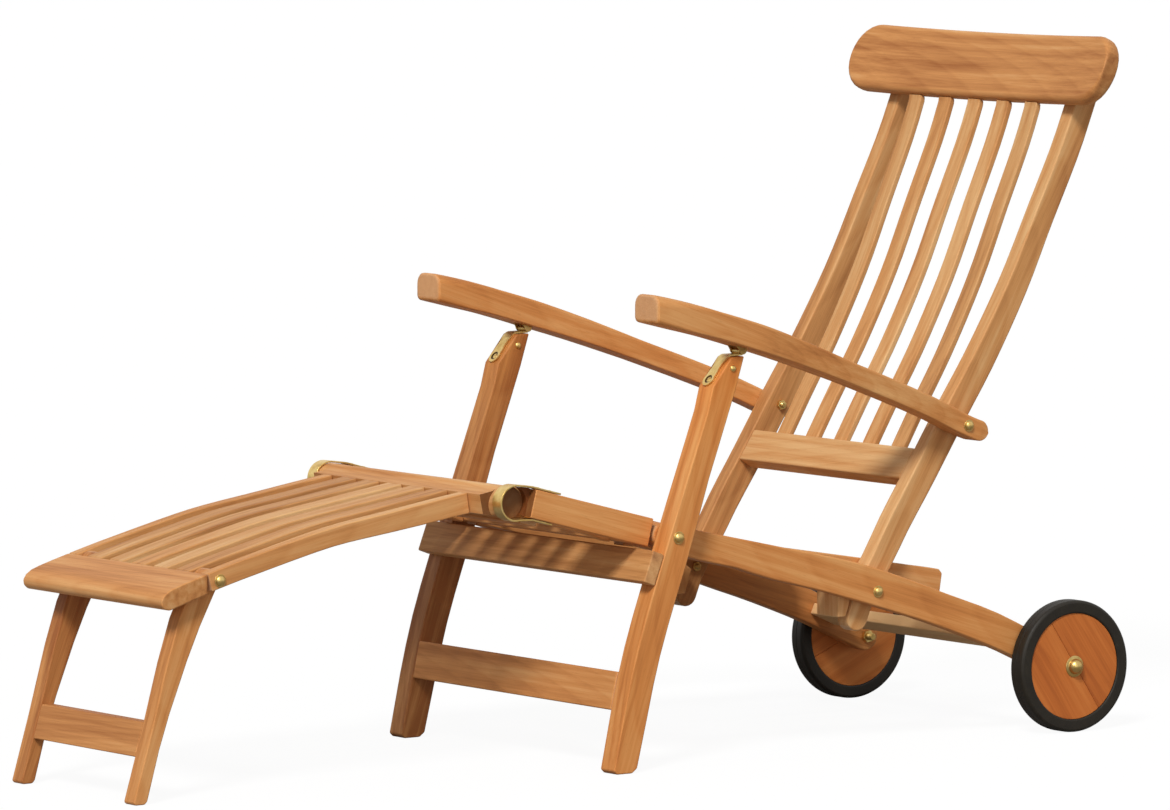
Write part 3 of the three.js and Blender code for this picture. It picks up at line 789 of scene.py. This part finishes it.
for side, sign in SIDES:
    turned(f"tyre_{side}_ring", AXLE, tyre_profile(), f"wheel_{side}", RUBBER,
           [f"tyre_{side}"], 120, sign)
    node = f"wheel_axle_{side}"
    axle = turned(f"{node}_shaft", AXLE, axle_profile(), "wheel_frame", BRASS, [node],
                  48, sign)
    aged(axle, AXLE_AGE)
    hexagon(f"{node}_nut", AXLE, 9.0, WHEEL_RAIL[0] - AXLE_NUT, WHEEL_RAIL[0] - 0.3,
            "wheel_frame", sign)
wheel_disc("left", -1, math.radians(-57), (0.5, 0.0, 1.10))
# The right disc's lightness of 1.25 is painted light on the far wheel
wheel_disc("right", 1, math.radians(24), (0.6, -0.3, 1.25))


# Straps, screws and lugs of brass sheet
SHEET_HALF = 1.1
# The arm strap's line in the side view from the knuckle to the bevel, then the way down the
# bevel and square to it, the radius of its round foot and the length down to the foot's middle
STRAP_TOP = [(125.0, 543.1), (107.0, 543.1), (104.6, 542.7), (102.4, 541.6), (100.4, 540.0),
             (97.4, 537.2)]
STRAP_DOWN = Vector((-0.6262, -0.7797))
STRAP_FACE = Vector((-0.7797, 0.6262))
STRAP_FOOT = 10.4
STRAP_REACH = 32.0
STRAP_MIDDLE = sum(ARM_STRAP) / 2
STRAP_STEPS = 12
SINK = [(0, -5), (3.0, -5), (3.0, -2.0), (6.4, 0.02), (6.4, 2), (0, 2)]
KNUCKLE = [(0, 249), (3.6, 249), (4.3, 249.7), (4.3, 253.0), (4.0, 253.3), (4.0, 253.7),
           (4.3, 254.0), (4.3, 262.0), (4.0, 262.3), (4.0, 262.7), (4.3, 263.0), (4.3, 266.3),
           (3.6, 267), (0, 267)]


def sheet_copy(node, width):
    """A brass sheet node with its edges eased."""
    bm = solid_copy(node)
    ease(bm, width, 2, 50)
    finish(bm, f"{node}_sheet", BODY_OF[node], BRASS, [node])


def subtract(bm, cutter_bm):
    """The first solid less the second, as a new bmesh."""
    parts = []
    for name, shape in (("whole", bm), ("cutter", cutter_bm)):
        mesh = bpy.data.meshes.new(name)
        bmesh.ops.recalc_face_normals(shape, faces=shape.faces)
        shape.to_mesh(mesh)
        shape.free()
        parts.append(bpy.data.objects.new(name, mesh))
        bpy.context.scene.collection.objects.link(parts[-1])
    whole, cutter = parts
    carve = whole.modifiers.new("cut", "BOOLEAN")
    carve.operation = "DIFFERENCE"
    carve.solver = "EXACT"
    carve.object = cutter
    bpy.context.view_layer.update()
    depsgraph = bpy.context.evaluated_depsgraph_get()
    carved = bpy.data.meshes.new_from_object(whole.evaluated_get(depsgraph))
    result = bmesh.new()
    result.from_mesh(carved)
    for item in parts:
        bpy.data.objects.remove(item)
    bpy.data.meshes.remove(carved)
    return result


def lathe(profile, steps=24):
    """A solid turned about Z; the profile lists (radius, height)."""
    def place(radius, angle, up):
        return (radius * math.cos(angle) * MM, radius * math.sin(angle) * MM, up * MM)

    bm = revolve(profile, steps, place)
    bmesh.ops.recalc_face_normals(bm, faces=bm.faces)
    return bm


def stand(bm, place, normal, spin=0.0):
    """Turns a piece made about Z to this normal and moves it to this place."""
    turn = Vector(normal).to_track_quat("Z", "Y").to_matrix().to_4x4()
    bm.transform(Matrix.Translation(Vector(place) * MM) @ turn @ Matrix.Rotation(spin, 4, "Z"))
    return bm


def screw_head(name, place, normal, body, radius, slot_turn):
    """A raised countersunk head with a slot, sitting on a face."""
    bm = lathe([(0, 0), (radius, 0), (radius, 0.25), (radius * 0.82, 0.75), (radius * 0.5, 1.05),
                (0, 1.15)])
    groove = bmesh.new()
    bmesh.ops.create_cube(groove, size=1.0)
    bmesh.ops.scale(groove, vec=(radius * 2.4 * MM, 0.8 * MM, 1.2 * MM), verts=groove.verts)
    bmesh.ops.translate(groove, vec=(0, 0, 1.1 * MM), verts=groove.verts)
    head = stand(subtract(bm, groove), place, normal, slot_turn)
    finish(head, name, body, BRASS, (), 30)


def strap_line():
    """The arm strap's line in the side view and its half width at each point."""
    start = Vector(STRAP_TOP[-1])
    path = list(STRAP_TOP)
    widths = [10.0] * (len(path) - 1) + [9.6]
    for i in range(1, STRAP_STEPS + 1):
        t = i / STRAP_STEPS
        waist = 9.4 - 1.6 * math.sin(math.pi * min(1.0, t * 1.15)) ** 2
        path.append(tuple(start + STRAP_DOWN * (STRAP_REACH - 5.5) * t))
        widths.append(mix(waist, 9.0, (t - 0.8) / 0.2))
    for i in range(1, STRAP_STEPS + 1):
        a = math.radians(mix(-32, 89, i / STRAP_STEPS))
        path.append(tuple(start + STRAP_DOWN * (STRAP_REACH + STRAP_FOOT * math.sin(a))))
        widths.append(max(0.4, STRAP_FOOT * math.cos(a)))
    return path, widths


def strap_sheet():
    """The arm strap's sheet with eased edges, on the side of positive y."""
    path, widths = strap_line()
    bm = bmesh.new()
    rings = []
    for i, (x, z) in enumerate(path):
        before = Vector(path[max(i - 1, 0)])
        after = Vector(path[min(i + 1, len(path) - 1)])
        way = (after - before).normalized()
        lifted = Vector((way.y, -way.x)) * SHEET_HALF
        ring = []
        for across, lift in ((-1, -1), (-1, 1), (-0.5, 1), (0, 1), (0.5, 1), (1, 1), (1, -1)):
            at = Vector((x, z)) + lifted * lift
            y = STRAP_MIDDLE + across * widths[i]
            ring.append(bm.verts.new((at.x * MM, y * MM, at.y * MM)))
        rings.append(ring)
    skin(bm, rings)
    bmesh.ops.recalc_face_normals(bm, faces=bm.faces)
    ease(bm, 0.5, 2, 50)
    return bm


def arm_strap(side, sign):
    """The strap over the leg's bevel, round at its foot, and the knuckle under the arm."""
    eye = Vector(STRAP_TOP[-1]) + STRAP_DOWN * STRAP_REACH
    top = eye + STRAP_FACE * SHEET_HALF
    top = (top.x, STRAP_MIDDLE, top.y)
    normal = (STRAP_FACE.x, 0, STRAP_FACE.y)
    bm = subtract(strap_sheet(), stand(lathe(SINK, 32), top, normal))
    age = bm.faces.layers.float.new("age")
    for f in bm.faces:
        away = f.calc_center_median() - Vector(top) * MM
        if away.length < 6.3 * MM and abs(f.normal.dot(Vector(normal))) < 0.95:
            f[age] = 1.0
    bmesh.ops.scale(bm, vec=(1, sign, 1), verts=bm.verts)
    node = f"arm_strap_{side}"
    finish(bm, f"{node}_plate", "front_legs", BRASS, [node])
    barrel = turned(f"{node}_knuckle", ARM_HINGE, KNUCKLE, "front_legs", BRASS, (), 32,
                    sign)
    # The knuckle is darkened as painted shade under the arm
    aged(barrel, KNUCKLE_SHADE)
    seat = eye - STRAP_FACE * 0.35
    screw_head(f"{node}_screw", (seat.x, sign * STRAP_MIDDLE, seat.y), normal, "front_legs", 4.0,
               0.6)


def arm_lugs(side, sign):
    """Two small lugs under the arm, one on each side of the knuckle."""
    outline = [(-10.0, 8.7), (-6.2, 2.4), *circle((0, 2.2), 6.0, 24, math.pi)[:13], (6.2, 2.4),
               (9.0, 3.0)]
    outline = [(ARM_HINGE[0] + x, ARM_HINGE[1] + z) for x, z in outline]
    bm = bmesh.new()
    prism(bm, outline, 246.2, 248.4, sign)
    prism(bm, outline, 267.6, 269.8, sign)
    ease(bm, 0.4, 2, 60)
    aged(finish(bm, f"armrest_{side}_lugs", f"armrest_{side}_arm", BRASS), LUG_AGE)


def knee_shade_packing(side, sign):
    """The wood between the round rail and the end of the outer seat rail, inside the strap, dark
    all over as painted shade.
    """
    outline = [(-190.0, 382.2), (-186.5, 380.5), (-196.2, 344.4),
               *circle(KNEE, 22.6, 45, math.radians(-50))[:15]]
    bm = bmesh.new()
    prism(bm, outline, 217.2, 227, sign)
    piece = finish(bm, f"knee_shade_packing_{side}", "wheel_frame", TEAK)
    # Low tone and lightness: painted shade inside the strap
    add_grain(piece.data, -0.9, 0.4, 0.55)


KNEE_SCREWS = ((-157.0, 375.9), (-176.0, 381.2))
KNEE_SCREW_OUT = 227.5
SEAT_SLOPE = math.atan2(-6.0, 22.0)
for side, sign in SIDES:
    knee_shade_packing(side, sign)
    sheet_copy(f"knee_strap_{side}", 0.5)
    arm_strap(side, sign)
    arm_lugs(side, sign)
    upright = (-math.sin(SEAT_SLOPE), 0, math.cos(SEAT_SLOPE))
    for k, (x, z) in enumerate(KNEE_SCREWS):
        screw_head(f"knee_screw_{side}_{k + 1}", (x, sign * KNEE_SCREW_OUT, z), upright,
                   "wheel_frame", 3.6, 0.5 + k)


# The stage, the light and the camera
FLOOR_RADIUS = 90.0
FLOOR_DROP = 0.0002
FLOOR_GLOW = 1.02
FLOOR_GLOW_SHARE = 0.92
FLOOR_UNSEEN = (0.36, 0.35, 0.34, 1)


def stage_floor():
    """A floor that is nearly white to the camera, duller to other rays, and keeps the shadow."""
    m = Nodes("pale_floor")
    m.shader.inputs["Specular IOR Level"].default_value = 0.0
    seen = m.new("ShaderNodeLightPath").outputs["Is Camera Ray"]
    m.surface(m.blend(seen, FLOOR_UNSEEN, grey(0.95)), 0.9)
    glow = m.new("ShaderNodeEmission", {"Color": grey(1.0), "Strength": FLOOR_GLOW})
    share = m.math("MULTIPLY", seen, FLOOR_GLOW_SHARE)
    both = m.new("ShaderNodeMixShader", {0: share, 1: m.shader.outputs[0], 2: glow.outputs[0]})
    m.set(m.tree.nodes["Material Output"].inputs["Surface"], both.outputs[0])
    bm = bmesh.new()
    bmesh.ops.create_circle(bm, cap_ends=True, segments=96, radius=FLOOR_RADIUS)
    mesh = bpy.data.meshes.new("floor")
    bm.to_mesh(mesh)
    bm.free()
    mesh.materials.append(m.material)
    floor = bpy.data.objects.new("floor", mesh)
    floor.location.z = -FLOOR_DROP
    bpy.context.scene.collection.objects.link(floor)


def world_light(strength):
    """Plain light from all round, which the camera and reflections see as white."""
    world = bpy.data.worlds.new("studio")
    bpy.context.scene.world = world
    world.use_nodes = True
    tree = world.node_tree
    background = tree.nodes["Background"]
    path = tree.nodes.new("ShaderNodeLightPath")
    shown = tree.nodes.new("ShaderNodeMath")
    shown.operation = "MAXIMUM"
    tree.links.new(path.outputs["Is Camera Ray"], shown.inputs[0])
    tree.links.new(path.outputs["Is Glossy Ray"], shown.inputs[1])
    level = tree.nodes.new("ShaderNodeMapRange")
    level.inputs["To Min"].default_value = strength
    level.inputs["To Max"].default_value = 1.0
    tree.links.new(shown.outputs[0], level.inputs["Value"])
    tree.links.new(level.outputs[0], background.inputs["Strength"])
    background.inputs["Color"].default_value = grey(1.0)


def sun(name, towards, energy, angle, colour=(1, 1, 1)):
    """A distant lamp in this direction, with this width in degrees."""
    data = bpy.data.lights.new(name, "SUN")
    data.energy = energy
    data.angle = math.radians(angle)
    data.color = colour
    lamp = bpy.data.objects.new(name, data)
    lamp.rotation_euler = Vector(towards).to_track_quat("Z", "Y").to_euler()
    bpy.context.scene.collection.objects.link(lamp)


stage_floor()
world_light(0.30)
sun("key", (-0.55, -0.47, 0.69), 2.4, 14, (1.0, 0.99, 0.97))
sun("fill", (-0.30, -0.92, 0.25), 0.36, 30)

# The camera's place in metres and its turns, and its focal length in pixels of the photograph
CAMERA_AT = Vector((-7.0702, -10.6716, 1.5493))
YAW = math.radians(33.72)
PITCH = math.radians(-4.84)
ROLL = -0.01055
FOCAL_PIXELS = 9588
FRAME_PIXELS = 1170
SENSOR = 36
forward = Vector((math.sin(YAW) * math.cos(PITCH), math.cos(YAW) * math.cos(PITCH),
                  math.sin(PITCH)))
level = Vector((math.cos(YAW), -math.sin(YAW), 0))
upward = level.cross(forward)
right = math.cos(ROLL) * level + math.sin(ROLL) * upward
up = -math.sin(ROLL) * level + math.cos(ROLL) * upward
facing = Matrix((right, up, -forward)).transposed().to_4x4()
lens = bpy.data.cameras.new("camera")
lens.sensor_width = SENSOR
lens.lens = FOCAL_PIXELS / FRAME_PIXELS * SENSOR
lens.clip_start = 0.1
lens.clip_end = 300
camera = bpy.data.objects.new("camera", lens)
camera.matrix_world = Matrix.Translation(CAMERA_AT) @ facing
bpy.context.scene.collection.objects.link(camera)
bpy.context.scene.camera = camera

bpy.context.scene.view_settings.view_transform = "Standard"
bpy.context.view_layer.update()
